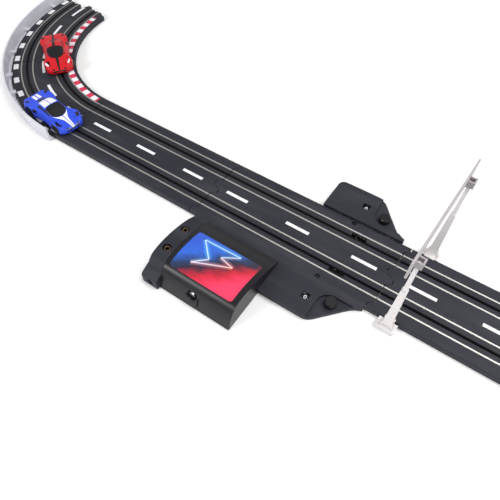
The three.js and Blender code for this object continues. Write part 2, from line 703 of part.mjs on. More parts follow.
function chassis() {
  return join(
    block(-31, 31, -9.4, 9.4, 1.4, 2.3),
    ...bearing(FRONT_AXLE, FRONT_RADIUS + WHEEL_LIFT, 0),
    ...bearing(REAR_AXLE, REAR_RADIUS + WHEEL_LIFT, AXLE_RADIUS + 0.35),
    barY(FRONT_AXLE, FRONT_RADIUS + WHEEL_LIFT, AXLE_RADIUS, -15.6, 15.6, 12),
    post(PIN_AHEAD, 0, 1.1, -2.4, 1.6, 12),
    block(8, 18, -RAIL_OFFSET - 0.8, -RAIL_OFFSET + 0.8, 0.6, 1.6),
    block(8, 18, RAIL_OFFSET - 0.8, RAIL_OFFSET + 0.8, 0.6, 1.6),
  );
}

function motor() {
  return join(
    barX(0, DRIVE_HEIGHT, 4.2, -12.6, 4.4, 16),
    barX(0, DRIVE_HEIGHT, 2, 4.2, 5.8, 12),
    barX(0, DRIVE_HEIGHT, 0.4, REAR_AXLE + 2.4, -12.4, 8),
  );
}

function motorPinion() {
  const radius = CROWN_RADIUS * PINION_TEETH / WHEEL_TEETH;
  const blank = gear([0, 0], PINION_TEETH, radius, 0, 0, 1.6, CAR_TOOTH);
  return cut(blank, post(0, 0, 0.6, -1, 3, 8)).rotate([0, 90, 0]).translate([REAR_AXLE + 2.6, 0, DRIVE_HEIGHT]);
}

function rearAxle() {
  const blank = gear([0, 0], WHEEL_TEETH, CROWN_RADIUS, 0, 0, 1.4, CAR_TOOTH);
  const crown = blank.rotate([-90, 0, 0]).translate([REAR_AXLE, 1.9, DRIVE_HEIGHT]);
  return join(barY(REAR_AXLE, DRIVE_HEIGHT, AXLE_RADIUS, -15.9, 15.9, 12), crown);
}

function carWheel(x, side, radius, width) {
  const outer = 16.6;
  const profile = [[AXLE_RADIUS + 0.35, 0], [radius - 0.5, 0], [radius, 0.6], [radius, width - 0.6],
    [radius - 0.5, width], [radius * 0.68, width], [radius * 0.6, width - 1.1], [2.2, width - 1.1],
    [2, width - 0.5], [AXLE_RADIUS + 0.35, width - 0.5], [AXLE_RADIUS + 0.35, 0]];
  const points = profile.map(([r, depth]) => new THREE.Vector2(r, depth));
  const geometry = new THREE.LatheGeometry(points, 20);
  if (side < 0) geometry.rotateX(Math.PI);
  geometry.translate(x, side * (outer - width), radius + WHEEL_LIFT);
  return solid(geometry);
}

// ---------- finishes ----------

const finish = (color, roughness, metalness) => new THREE.MeshStandardMaterial({ color, roughness, metalness });

const TRACK_PLASTIC = finish(0x33343a, 0.6, 0);
const COVER_PLASTIC = finish(0x2c2d31, 0.42, 0);
const BLACK_PLASTIC = finish(0x141416, 0.5, 0);
const RAIL_STEEL = finish(0xc9c8c4, 0.28, 1);
const BRASS = finish(0xb5924a, 0.3, 1);
const ZINC = finish(0xb9bbbf, 0.35, 1);
const BOARD_GREEN = finish(0x1f5a33, 0.5, 0);
const CELL_SLEEVE = finish(0x2a4a9c, 0.4, 0);
const GANTRY_WHITE = finish(0xece7e7, 0.35, 0);
const GUARD_MILKY = finish(0xdadbe2, 0.3, 0);
const CAR_BLUE = finish(0x2f55d8, 0.22, 0);
const CAR_RED = finish(0xc8142a, 0.22, 0);
const SMOKED_SCREEN = finish(0x0c0d10, 0.12, 0);
const TYRE_RUBBER = finish(0x17171a, 0.8, 0);
const NYLON = finish(0xe4e2dc, 0.45, 0);

const set = new THREE.Group();

function place(parent, name, shape, material) {
  const mesh = new THREE.Mesh(geometryOf(shape), material);
  mesh.name = name;
  parent.add(mesh);
}

// ---------- the set ----------

const track = new THREE.Group();
set.add(track);

const MODULES = [
  ['curve_2', -MODULE_LENGTH - 2 * CURVE_LENGTH, -MODULE_LENGTH - CURVE_LENGTH],
  ['curve_1', -MODULE_LENGTH - CURVE_LENGTH, -MODULE_LENGTH],
  ['straight_1', -MODULE_LENGTH, 0],
  ['straight_2', MODULE_LENGTH, 2 * MODULE_LENGTH],
];

for (const [name, s0, s1] of MODULES) {
  place(track, name, cut(plainDeck(s0, s1), ...prongHoles(s0, s1)), TRACK_PLASTIC);
  place(track, `${name}_rails`, railSet(s0, s1), RAIL_STEEL);
}

place(track, 'power_base', powerBase(), TRACK_PLASTIC);
const RAIL_NAMES = ['near_lane_outer_rail', 'near_lane_inner_rail', 'far_lane_inner_rail', 'far_lane_outer_rail'];
RAIL_LINES.forEach((y, i) => place(track, RAIL_NAMES[i], oneRail(y, 0, MODULE_LENGTH, 3.7), RAIL_STEEL));

place(track, 'battery_cover', batteryCover(), COVER_PLASTIC);
place(track, 'cover_screw', coverScrew(), ZINC);
place(track, 'base_cover', baseCover(), BLACK_PLASTIC);
place(track, 'controller_jack_rear', controllerJack(0), BRASS);
place(track, 'controller_jack_front', controllerJack(1), BRASS);
place(track, 'inlet_jack', inletJack(), ZINC);
place(track, 'circuit_board', block(13.6, 20.4, -105, -54, 3, 4.4), BOARD_GREEN);
CELLS.forEach((x, i) => place(track, `battery_${i + 1}`, cell(x), CELL_SLEEVE));
place(track, 'battery_springs', contactSprings(), ZINC);
place(track, 'battery_contact_plate', block(28, 94.4, -62.8, -62.3, 5.3, 12), ZINC);

place(track, 'near_counter_wheel', counterWheel(-1, NEAR_GEARS), NYLON);
place(track, 'far_counter_wheel', counterWheel(1, FAR_GEARS), NYLON);
place(track, 'near_reset_knob', resetKnob(-1, NEAR_GEARS, 4.4, 10), BLACK_PLASTIC);
place(track, 'far_reset_knob', resetKnob(1, FAR_GEARS, DECK_TOP + 1.5, 12.6), BLACK_PLASTIC);
place(track, 'near_trip_lever', tripLever(-1), NYLON);
place(track, 'far_trip_lever', tripLever(1), NYLON);
place(track, 'counter_plate', counterPlate(), TRACK_PLASTIC);

const GANTRY_SKEW = -2.4 * Math.PI / 180;
const gantry = new THREE.Group();
gantry.position.set(GANTRY_X, 0, 0);
gantry.rotation.z = GANTRY_SKEW;
track.add(gantry);
place(gantry, 'gantry_near_post', gantryPost(-1), GANTRY_WHITE);
place(gantry, 'gantry_far_post', gantryPost(1), GANTRY_WHITE);
place(gantry, 'gantry_banner', banner(), GANTRY_WHITE);

place(track, 'guard_rail_end', guardRail(0.032, 0.234, [0.088]), GUARD_MILKY);
place(track, 'guard_rail_curve_1', guardRail(0.24, 0.78, [0.489, 0.663]), GUARD_MILKY);
place(track, 'guard_rail_curve_2', guardRail(0.79, 1.56, [0.9, 1.15, 1.45]), GUARD_MILKY);

// A car with its guide pin in a lane's slot, at an angle round the curve.
function addCar(name, lane, pinAngle, yaw, paint) {
  const [x, y] = along(-MODULE_LENGTH - CURVE_RADIUS * pinAngle, lane);
  const pin = new THREE.Group();
  pin.position.set(x, y, DECK_TOP);
  pin.rotation.z = -pinAngle + yaw;
  const car = new THREE.Group();
  car.position.x = -PIN_AHEAD;
  pin.add(car);
  track.add(pin);
  place(car, `${name}_body`, carBody(), paint);
  place(car, `${name}_windscreen`, windscreen(), SMOKED_SCREEN);
  place(car, `${name}_chassis`, chassis(), BLACK_PLASTIC);
  place(car, `${name}_motor`, motor(), ZINC);
  place(car, `${name}_motor_pinion`, motorPinion(), BRASS);
  place(car, `${name}_rear_axle`, rearAxle(), ZINC);
  place(car, `${name}_rear_left_wheel`, carWheel(REAR_AXLE, 1, REAR_RADIUS, 5.4), TYRE_RUBBER);
  place(car, `${name}_rear_right_wheel`, carWheel(REAR_AXLE, -1, REAR_RADIUS, 5.4), TYRE_RUBBER);
  place(car, `${name}_front_left_wheel`, carWheel(FRONT_AXLE, 1, FRONT_RADIUS, 4.6), TYRE_RUBBER);
  place(car, `${name}_front_right_wheel`, carWheel(FRONT_AXLE, -1, FRONT_RADIUS, 4.6), TYRE_RUBBER);
}

addCar('blue_car', -LANE, 0.024, -0.075, CAR_BLUE);
addCar('red_car', LANE, 0.642, 0, CAR_RED);

// The origin is the middle of the set's footprint, on the table.
track.updateMatrixWorld(true);
const bounds = new THREE.Box3().setFromObject(track);
track.position.set(-(bounds.min.x + bounds.max.x) / 2, -(bounds.min.y + bounds.max.y) / 2, 0);

export default set;
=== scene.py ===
# %% [markdown]
# # A slot car track set
# The set is a two-lane track of moulded modules, with a power base, two lap counters, a start
# gantry, guard rails and two cars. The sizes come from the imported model, which is loaded here
# as a fixed frame. Everything is in metres. This lesson adds what that model leaves out: the
# finishes, the printed marks, and the rounded shapes of the small cars.

# %% The frame
import math

import bmesh
import bpy
from mathutils import Matrix, Vector
from mathutils.bvhtree import BVHTree


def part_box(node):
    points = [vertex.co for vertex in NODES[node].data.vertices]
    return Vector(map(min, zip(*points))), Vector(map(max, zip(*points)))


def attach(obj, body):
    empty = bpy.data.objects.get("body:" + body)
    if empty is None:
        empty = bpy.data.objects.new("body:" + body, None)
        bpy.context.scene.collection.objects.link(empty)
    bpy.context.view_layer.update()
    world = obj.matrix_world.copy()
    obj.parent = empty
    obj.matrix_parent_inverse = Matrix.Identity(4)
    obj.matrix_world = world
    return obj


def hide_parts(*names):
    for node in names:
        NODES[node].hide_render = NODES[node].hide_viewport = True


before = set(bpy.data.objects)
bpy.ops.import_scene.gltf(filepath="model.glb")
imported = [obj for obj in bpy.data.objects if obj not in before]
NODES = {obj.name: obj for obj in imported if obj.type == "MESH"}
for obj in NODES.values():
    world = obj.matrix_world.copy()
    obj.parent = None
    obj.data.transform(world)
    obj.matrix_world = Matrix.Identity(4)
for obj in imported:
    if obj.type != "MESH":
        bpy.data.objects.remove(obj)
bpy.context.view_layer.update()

MM = 0.001

# %% [markdown]
# ## Where things are
# The track is easier to think of in its own measures: `s` runs along the centreline in
# millimetres from the power base's first joint, and `y` across it. Past the first straight the
# path bends round a quarter circle. One function turns these into a place in the frame, so
# every mark, kerb and car can be given where a track designer would give it.

# %% The path
near_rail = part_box("near_lane_outer_rail")
far_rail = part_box("far_lane_outer_rail")
STRAIGHT = 190.0
CURVE_RADIUS = 176.0
LANE = 20.0
DECK = 6.0
CENTRE_Y = (near_rail[0][1] + far_rail[1][1]) / 2 / MM
JOINT_X = near_rail[0][0] / MM - 0.4


def place(s, y, z=DECK):
    """A place on the track, in millimetres, as a point of the frame in metres."""
    past = max(0.0, -STRAIGHT - s)
    turn = past / CURVE_RADIUS
    radius = CURVE_RADIUS - y
    x = max(s, -STRAIGHT) - radius * math.sin(turn)
    across = CURVE_RADIUS - radius * math.cos(turn)
    return Vector(((x + JOINT_X) * MM, (across + CENTRE_Y) * MM, z * MM))


print("first joint at x", round(JOINT_X, 2), "mm, centreline at y", round(CENTRE_Y, 2), "mm")

# %% [markdown]
# ## Camera, floor and light
# The camera stands above the near side and looks down along the straights. A wide plain floor,
# a bright sky and three large lamps give the even light of a small product studio.

# %% Camera
eye = place(209.9, -249.5, 354.3)
ahead = Vector((-0.323, 0.477, -0.817)).normalized()
right = Vector((0.827, 0.563, 0.002))
right = (right - ahead * right.dot(ahead)).normalized()
up = right.cross(ahead)
camera_data = bpy.data.cameras.new("studio_camera")
camera_data.sensor_width = 36
camera_data.lens = 33.54
camera_data.clip_start = 0.01
camera_data.clip_end = 20
camera = bpy.data.objects.new("studio_camera", camera_data)
camera.matrix_world = Matrix.Translation(eye) @ Matrix((right, up, -ahead)).transposed().to_4x4()
bpy.context.scene.collection.objects.link(camera)
bpy.context.scene.camera = camera
print("camera at", [round(v, 3) for v in eye])

# %% Light
world = bpy.data.worlds.new("studio")
bpy.context.scene.world = world
world.use_nodes = True
sky = world.node_tree.nodes["Background"]
sky.inputs["Color"].default_value = (1.0, 1.0, 1.0, 1)
sky.inputs["Strength"].default_value = 0.56


def lamp(name, at, towards, size, power):
    """A square soft lamp that shines from one point towards another."""
    data = bpy.data.lights.new(name, "AREA")
    data.shape = "SQUARE"
    data.size = size
    data.energy = power
    made = bpy.data.objects.new(name, data)
    aim = (Vector(towards) - Vector(at)).to_track_quat("-Z", "Y")
    made.matrix_world = Matrix.Translation(at) @ aim.to_matrix().to_4x4()
    bpy.context.scene.collection.objects.link(made)
    return made


lamp("overhead_lamp", (0.55, 0.25, 1.2), (0.0, 0.0, 0.0), 0.7, 11)
lamp("bend_lamp", (-0.55, -1.15, 0.85), (-0.02, -0.12, 0.0), 0.42, 9)
lamp("right_lamp", (1.2, -0.6, 0.8), (0.1, 0.0, 0.0), 0.6, 3)
bpy.context.scene.view_settings.view_transform = "Standard"
print("sky and 3 lamps")

# %% [markdown]
# ## Mixing finishes
# A finish is a small sum: grain plus dust, times a mask. Two helpers keep those sums readable.
# `Wire` wraps one socket and turns `+`, `-`, `*` and `/` into Math nodes. `Tree.node` makes
# any other node from its type, its settings and its inputs. Both work in a material and in a
# Geometry Nodes tree, because Math nodes are the same in each.


# %% Wires and trees
class Wire:
    """One output socket. Arithmetic on it adds Math nodes to its tree."""

    def __init__(self, tree, socket):
        self.tree = tree
        self.socket = socket

    def maths(self, operation, *values):
        inputs = dict(enumerate(values))
        return self.tree.node("ShaderNodeMath", {"operation": operation}, inputs)

    def __add__(self, other):
        return self.maths("ADD", self, other)

    __radd__ = __add__

    def __sub__(self, other):
        return self.maths("SUBTRACT", self, other)

    def __rsub__(self, other):
        return self.maths("SUBTRACT", other, self)

    def __mul__(self, other):
        return self.maths("MULTIPLY", self, other)

    __rmul__ = __mul__

    def __truediv__(self, other):
        return self.maths("DIVIDE", self, other)

    def __gt__(self, other):
        return self.maths("GREATER_THAN", self, other)

    def __lt__(self, other):
        return self.maths("LESS_THAN", self, other)


class Tree:
    """A node tree under construction."""

    def __init__(self, tree):
        self.tree = tree

    def node(self, kind, settings=None, inputs=None, output=0):
        """Adds a node: its settings first, then its sockets. Gives one output as a Wire."""
        made = self.tree.nodes.new(kind)
        for name, value in (settings or {}).items():
            if name == "stops":
                ramp = made.color_ramp
                while len(ramp.elements) < len(value):
                    ramp.elements.new(1.0)
                for stop, (at, colour) in zip(ramp.elements, value):
                    stop.position = at
                    stop.color = (*colour, 1)
            else:
                setattr(made, name, value)
        for key, value in (inputs or {}).items():
            self.feed(made.inputs[key], value)
        return Wire(self, made.outputs[output])

    def feed(self, socket, value):
        if isinstance(value, Wire):
            self.tree.links.new(value.socket, socket)
        else:
            socket.default_value = value


class Finish(Tree):
    """A material: a Principled shader, and what varies over the surface."""

    def __init__(self, name, colour, roughness, metallic=0.0, **constants):
        self.material = bpy.data.materials.new(name)
        self.material.use_nodes = True
        super().__init__(self.material.node_tree)
        self.shader = self.tree.nodes["Principled BSDF"]
        self.colour = colour
        self.set("Base Color", (*colour, 1))
        self.set("Roughness", roughness)
        self.set("Metallic", metallic)
        for socket, value in constants.items():
            self.set(socket.replace("_", " "), value)
        self.place = self.node("ShaderNodeTexCoord", output="Object")

    def set(self, socket, value):
        self.feed(self.shader.inputs[socket], value)

    def noise(self, scale, detail=3.0, stretch=None):
        """Noise from 0 to 1 with features of about 1/scale metres."""
        where = self.place
        if stretch:
            where = self.node("ShaderNodeMapping", None, {"Vector": where, "Scale": stretch})
        return self.node("ShaderNodeTexNoise", None, {"Vector": where, "Scale": scale, "Detail": detail})

    def ramp(self, value, *stops):
        return self.node("ShaderNodeValToRGB", {"stops": stops}, {"Fac": value})

    def mix(self, mask, first, second):
        """One colour where mask is 0, another where it is 1."""
        ends = [end if isinstance(end, Wire) else (*end, 1) for end in (first, second)]
        return self.node("ShaderNodeMix", {"data_type": "RGBA"}, {0: mask, 6: ends[0], 7: ends[1]}, 2)

    def bump(self, height, strength, distance):
        inputs = {"Height": height, "Strength": strength, "Distance": distance}
        self.set("Normal", self.node("ShaderNodeBump", None, inputs))


print("helpers ready")


# %% [markdown]
# ## Moulded plastic
# The track is black moulded plastic with a fine spark-eroded grain. It could be one flat colour,
# but real decks are paler where dust lies, and here the deck is also darkened beside the slots as
# painted shade of the slots. So a mask is worked out from how far a point is from the centreline,
# on the straights and round the curve alike, and the grain is a very fine bump.


# %% Plastic finishes
def plastic(name, colour, roughness, grain=0.05, mottle=0.12, **constants):
    """Moulded plastic with fine grain and slightly uneven gloss."""
    finish = Finish(name, colour, roughness, Specular_IOR_Level=0.32, **constants)
    cloud = finish.noise(45, 4)
    darker = tuple(c * 0.88 for c in colour)
    lighter = tuple(min(1, c * 1.1 + 0.002) for c in colour)
    finish.set("Base Color", finish.mix(cloud, darker, lighter))
    finish.set("Roughness", (cloud - 0.5) * mottle + roughness)
    finish.bump(finish.noise(2600, 2), grain, 0.0001)
    return finish


def distance_across(finish):
    """Millimetres from the track's centreline, as a Wire."""
    where = finish.node("ShaderNodeSeparateXYZ", None, {"Vector": finish.place})
    x = where / MM - JOINT_X + STRAIGHT
    y = Wire(finish, where.socket.node.outputs["Y"]) / MM - CENTRE_Y - CURVE_RADIUS
    x = x.maths("MINIMUM", x, 0.0)
    radius = x.maths("SQRT", x * x + y * y)
    return CURVE_RADIUS - radius


def track_plastic(name, colour, roughness):
    finish = plastic(name, colour, roughness)
    across = distance_across(finish)
    across = across.maths("ABSOLUTE", across)
    off_lane = across.maths("ABSOLUTE", across - LANE)
    # painted shade: the deck is darkened within about 5 mm of each slot
    slot_shade = off_lane.maths("SMOOTH_MIN", 5.0 - off_lane, 0.5, 0.6) * 2.0
    slot_shade = slot_shade.maths("MAXIMUM", slot_shade, 0.0)
    wheel_way = finish.noise(90, 3, (0.2, 1, 1))
    dust = finish.ramp(wheel_way, (0.45, (0, 0, 0)), (0.75, (1, 1, 1)))
    cloud = finish.noise(38, 5)
    base = finish.mix(cloud, tuple(c * 0.9 for c in colour), tuple(c * 1.12 for c in colour))
    dusty = finish.mix(dust * 0.1, base, (0.16, 0.16, 0.17))
    # mixes the painted slot shade towards near-black over the dusty deck
    finish.set("Base Color", finish.mix(slot_shade * 0.35, dusty, (0.012, 0.012, 0.015)))
    return finish


deck_plastic = track_plastic("track_plastic", (0.016, 0.017, 0.025), 0.6)
cover_plastic = plastic("cover_plastic", (0.007, 0.007, 0.010), 0.34, 0.02)
black_plastic = plastic("black_plastic", (0.006, 0.006, 0.008), 0.36)
gantry_plastic = plastic("gantry_plastic", (0.70, 0.67, 0.67), 0.38, 0.02)
banner_plastic = plastic("banner_plastic", (0.40, 0.37, 0.38), 0.4, 0.02)
print("track, cover, black and gantry plastics")

# %% Metals and small finishes
def metal(name, colour, roughness, stretch=(1, 30, 30)):
    """Bare metal with drawn lines along it."""
    finish = Finish(name, colour, roughness, 1.0)
    lines = finish.noise(240, 3, stretch)
    finish.set("Roughness", (lines - 0.5) * 0.22 + roughness)
    finish.set("Base Color", finish.mix(lines, tuple(c * 0.86 for c in colour), colour))
    finish.bump(lines, 0.06, 0.0001)
    return finish


rail_steel = metal("rail_steel", (0.60, 0.59, 0.56), 0.5, (1, 6, 6))
zinc = metal("zinc_plate", (0.62, 0.63, 0.65), 0.3)
brass = metal("dark_brass", (0.30, 0.23, 0.14), 0.3)
rubber = plastic("tyre_rubber", (0.016, 0.016, 0.017), 0.75, 0.25)
board = plastic("board_lacquer", (0.015, 0.11, 0.04), 0.3, 0.02)
sleeve = plastic("cell_sleeve", (0.03, 0.08, 0.32), 0.35, 0.0)
white_paint = plastic("white_paint", (0.78, 0.78, 0.80), 0.5, 0.03)
red_paint = plastic("kerb_red", (0.60, 0.03, 0.085), 0.45, 0.03)
black_print = plastic("black_print", (0.006, 0.006, 0.008), 0.35, 0.0)
milky = plastic("milky_plastic", (0.60, 0.60, 0.66), 0.28, 0.03)
print("metals, rubber, board, sleeve and paints")


def car_paint(name, colour):
    """Glossy car paint: a clear coat over slightly uneven colour."""
    finish = Finish(name, colour, 0.38, 0.0, Specular_IOR_Level=0.3, Coat_Weight=0.12, Coat_Roughness=0.12)
    cloud = finish.noise(120, 3)
    darker = tuple(c * 0.85 for c in colour)
    finish.set("Base Color", finish.mix(cloud, darker, colour))
    finish.bump(finish.noise(700, 2), 0.03, 0.0001)
    return finish


blue_paint = car_paint("blue_paint", (0.025, 0.075, 0.72))
red_car_paint = car_paint("red_car_paint", (0.62, 0.004, 0.012))
screen_black = car_paint("smoked_screen", (0.005, 0.005, 0.007))
print("car paints")

# %% [markdown]
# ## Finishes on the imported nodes
# A node's mesh is loose triangles with flat shading. One small Geometry Nodes tree welds them,
# then shades a face smoothly across every edge that bends less than a set angle, so arches and
# round posts look round and their rims stay crisp. The nodes themselves aren't changed.


# %% Soft shading
class Recipe(Tree):
    """A Geometry Nodes tree with named inputs, which ends with plain geometry and a material."""

    def __init__(self, name, **inputs):
        group = bpy.data.node_groups.new(name, "GeometryNodeTree")
        face = group.interface
        face.new_socket("Geometry", in_out="INPUT", socket_type="NodeSocketGeometry")
        face.new_socket("Geometry", in_out="OUTPUT", socket_type="NodeSocketGeometry")
        self.identifiers = {}
        kinds = {int: "NodeSocketInt", float: "NodeSocketFloat", str: "NodeSocketMaterial"}
        for label, value in inputs.items():
            socket = face.new_socket(label, in_out="INPUT", socket_type=kinds[type(value)])
            self.identifiers[label] = socket.identifier
            if not isinstance(value, str):
                socket.default_value = value
        super().__init__(group)
        self.entry = group.nodes.new("NodeGroupInput")
        self.exit = group.nodes.new("NodeGroupOutput")

    def given(self, label):
        return Wire(self, self.entry.outputs[label])

    def end(self, geometry, finish=False):
        if finish:
            whole = self.node("GeometryNodeRealizeInstances", None, {"Geometry": geometry})
            inputs = {"Geometry": whole, "Material": self.given("Finish")}
            geometry = self.node("GeometryNodeSetMaterial", None, inputs)
        self.feed(self.exit.inputs[0], geometry)

    def add_to(self, made, **values):
        modifier = made.modifiers.new(self.tree.name, "NODES")
        modifier.node_group = self.tree
        for label, value in values.items():
            modifier[self.identifiers[label]] = value
        return modifier


soft = Recipe("soft_shading", Angle=30.0)
loose = {"Geometry": soft.given("Geometry"), "Distance": 0.000004}
welded = soft.node("GeometryNodeMergeByDistance", None, loose)
bend = soft.node("GeometryNodeInputMeshEdgeAngle")
gentle = bend < soft.given("Angle") * (math.pi / 180)
whole_soft = {"Geometry": welded, "Shade Smooth": True}
faces = soft.node("GeometryNodeSetShadeSmooth", {"domain": "FACE"}, whole_soft)
gentle_soft = {"Geometry": faces, "Shade Smooth": gentle}
edges = soft.node("GeometryNodeSetShadeSmooth", {"domain": "EDGE"}, gentle_soft)
soft.end(edges)

NODE_FINISHES = {
    "rails": rail_steel, "rail": rail_steel, "battery_cover": cover_plastic, "cover_screw": zinc,
    "base_cover": black_plastic, "jack_rear": brass, "jack_front": brass, "inlet_jack": zinc,
    "power_base": deck_plastic, "circuit_board": board, "springs": zinc,
    "contact_plate": zinc, "counter_wheel": black_plastic,
    "reset_knob": black_plastic, "trip_lever": black_plastic, "post": gantry_plastic,
    "banner": banner_plastic, "chassis": black_plastic, "motor": zinc, "pinion": brass,
    "rear_axle": zinc, "_wheel": rubber, "windscreen": screen_black, "blue_car_body": blue_paint,
    "red_car_body": red_car_paint,
}


def finish_for(name):
    """The finish whose key ends the node's name; the track's plastic if none does."""
    if name.startswith("guard_rail"):
        return milky
    if name.startswith("battery_") and name[-1].isdigit():
        return sleeve
    fits = [key for key in NODE_FINISHES if name.endswith(key)]
    return NODE_FINISHES[max(fits, key=len)] if fits else deck_plastic


for name, node in NODES.items():
    node.data.materials.clear()
    node.data.materials.append(finish_for(name).material)
    soft.add_to(node, Angle=32.0)
print("finished", len(NODES), "nodes")

# %% [markdown]
# ## Printed marks
# Dashes, kerb blocks and edge blocks repeat along the track, so one Geometry Nodes tree lays
# them: it makes a row of thin bars in straight measures, then bends every point of the row onto
# the path with the same sum as `place`. The bars stand 0.05 mm proud, as printed ink does.


# %% Marks along the track
def onto_track(tree, s, y, z):
    """The sum in place, as nodes."""
    turn = s.maths("MAXIMUM", -STRAIGHT - s, 0.0) / CURVE_RADIUS
    radius = CURVE_RADIUS - y
    x = s.maths("MAXIMUM", s, -STRAIGHT) - radius * turn.maths("SINE", turn)
    across = CURVE_RADIUS - radius * turn.maths("COSINE", turn)
    inputs = {"X": (x + JOINT_X) * MM, "Y": (across + CENTRE_Y) * MM, "Z": z * MM}
    return tree.node("ShaderNodeCombineXYZ", None, inputs)


marks = Recipe("marks_along_track", First=0.0, Pitch=10.0, Count=1, Length=5.0, Width=3.0, Across=0.0,
               Top=6.05, Thickness=0.4, Steps=2, Finish="")
start = marks.node("ShaderNodeCombineXYZ", None, {"X": marks.given("First")})
step = marks.node("ShaderNodeCombineXYZ", None, {"X": marks.given("Pitch")})
row = marks.node("GeometryNodeMeshLine", {"mode": "OFFSET"},
                 {"Count": marks.given("Count"), "Start Location": start, "Offset": step})
size = marks.node("ShaderNodeCombineXYZ", None,
                  {"X": marks.given("Length"), "Y": marks.given("Width"), "Z": marks.given("Thickness")})
bar = marks.node("GeometryNodeMeshCube", None, {"Size": size, "Vertices X": marks.given("Steps")})
bars = marks.node("GeometryNodeInstanceOnPoints", None, {"Points": row, "Instance": bar})
bars = marks.node("GeometryNodeRealizeInstances", None, {"Geometry": bars})
where = marks.node("ShaderNodeSeparateXYZ", None, {"Vector": marks.node("GeometryNodeInputPosition")})
along_y = Wire(marks, where.socket.node.outputs["Y"]) + marks.given("Across")
height = Wire(marks, where.socket.node.outputs["Z"]) + marks.given("Top") - marks.given("Thickness") / 2
bent = onto_track(marks, where, along_y, height)
marks.end(marks.node("GeometryNodeSetPosition", None, {"Geometry": bars, "Position": bent}), True)


def grown(name, recipe, finish, body="track", slot=None, base=None, **values):
    """Grows a recipe into a plain mesh piece that rides on a body."""
    seed = bpy.data.objects.new(name + "_seed", base or bpy.data.meshes.new(name + "_seed"))
    bpy.context.scene.collection.objects.link(seed)
    recipe.add_to(seed, Finish=finish.material, **values)
    bpy.context.view_layer.update()
    graph = bpy.context.evaluated_depsgraph_get()
    mesh = bpy.data.meshes.new_from_object(seed.evaluated_get(graph))
    bpy.data.objects.remove(seed)
    return piece(name, mesh, finish, body, slot)


def piece(name, mesh, finish, body="track", slot=None):
    """A mesh as a piece of the set, in place, riding on a body."""
    mesh.name = name
    if not mesh.materials:
        mesh.materials.append(finish.material)
    made = bpy.data.objects.new(name, mesh)
    bpy.context.scene.collection.objects.link(made)
    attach(made, body)
    return made


def marks_piece(name, finish, slot, **values):
    made = grown(name, marks, finish, slot=slot, **values)
    print(name, len(made.data.polygons), "faces")


dash = dict(Length=25.0, Width=3.4)
DASH_ROWS = (("straight_1", -159.6, 64.5), ("power_base", 25.3, 69.6), ("straight_2", 220.7, 64.5))
for module, first, pitch in DASH_ROWS:
    marks_piece(f"dashes_{module}", white_paint, "white_paint", First=first, Pitch=pitch, Count=3, **dash)
DEGREE = CURVE_RADIUS * math.pi / 180
for i in (1, 2):
    begin = -STRAIGHT - 45 * (i - 1) * DEGREE
    marks_piece(f"dashes_curve_{i}", white_paint, "white_paint", First=begin - 5.2 * DEGREE,
                Pitch=-17.3 * DEGREE, Count=3, Length=8.4 * DEGREE, Width=3.4, Steps=6)
    marks_piece(f"kerb_white_{i}", white_paint, "white_paint", First=begin - 5.9 * DEGREE,
                Pitch=-6.3 * DEGREE, Count=6, Length=3.15 * DEGREE, Width=7.0, Across=31.5, Steps=3)
    marks_piece(f"kerb_red_{i}", red_paint, "red_paint", First=begin - 9.05 * DEGREE, Pitch=-6.3 * DEGREE,
                Count=5, Length=3.15 * DEGREE, Width=7.0, Across=31.5, Steps=3)
    marks_piece(f"kerb_ends_{i}", red_paint, "red_paint", First=begin - 3.7 * DEGREE, Pitch=-35.2 * DEGREE,
                Count=2, Length=1.0 * DEGREE, Width=7.0, Across=31.5, Steps=2)
    marks_piece(f"edge_blocks_{i}", white_paint, "white_paint", First=begin - 2.5 * DEGREE,
                Pitch=-8 * DEGREE, Count=6, Length=3 * DEGREE, Width=6.0, Across=-33.5, Steps=3)

# %% [markdown]
# ## Thin skins
# The sticker and the painted panels of the cars are thin closed skins that follow a curved
# surface. Each is a grid of points with an outward direction at every point. The grid is
# repeated a little below the surface and the rim is stitched, so a skin has a real edge.


# %% Skins
def skin(rows, lift, depth):
    """A closed skin over rows of (point, outward) pairs, from -depth to lift metres."""
    high, wide = len(rows), len(rows[0])
    top = [point + out * lift for row in rows for point, out in row]
    low = [point - out * depth for row in rows for point, out in row]
    count = high * wide
    faces = []
    for i in range(high - 1):
        for j in range(wide - 1):
            quad = (i * wide + j, i * wide + j + 1, (i + 1) * wide + j + 1, (i + 1) * wide + j)
            faces += [quad, tuple(count + k for k in reversed(quad))]
    rim = [j for j in range(wide)] + [i * wide + wide - 1 for i in range(1, high)]
    rim += [(high - 1) * wide + j for j in reversed(range(wide - 1))]
    rim += [i * wide for i in reversed(range(1, high - 1))]
    for a, b in zip(rim, rim[1:] + rim[:1]):
        faces.append((b, a, count + a, count + b))
    mesh = bpy.data.meshes.new("skin")
    mesh.from_pydata(top + low, [], faces)
    return face_outward(mesh)


def face_outward(mesh):
    """Turns every face of a closed mesh outwards, and shades the gentle bends smoothly."""
    work = bmesh.new()
    work.from_mesh(mesh)
    bmesh.ops.remove_doubles(work, verts=work.verts, dist=0.000002)
    bmesh.ops.recalc_face_normals(work, faces=work.faces)
    for edge in work.edges:
        edge.smooth = len(edge.link_faces) == 2 and edge.calc_face_angle(0.0) < 0.7
    for face in work.faces:
        face.smooth = True
    work.to_mesh(mesh)
    work.free()
    return mesh


def curve_through(values, t):
    """The Catmull-Rom value at t, where t = 0, 1, 2... are the given values."""
    i = min(max(int(math.floor(t)), 0), len(values) - 2)
    a, b = values[i], values[i + 1]
    before = values[i - 1] if i else 2 * a - b
    after = values[i + 2] if i + 2 < len(values) else 2 * b - a
    u = t - i
    return 0.5 * (2 * a + (b - before) * u + (2 * before - 5 * a + 4 * b - after) * u * u
                  + (3 * a - before - 3 * b + after) * u ** 3)


print("skin, face_outward and curve_through ready")

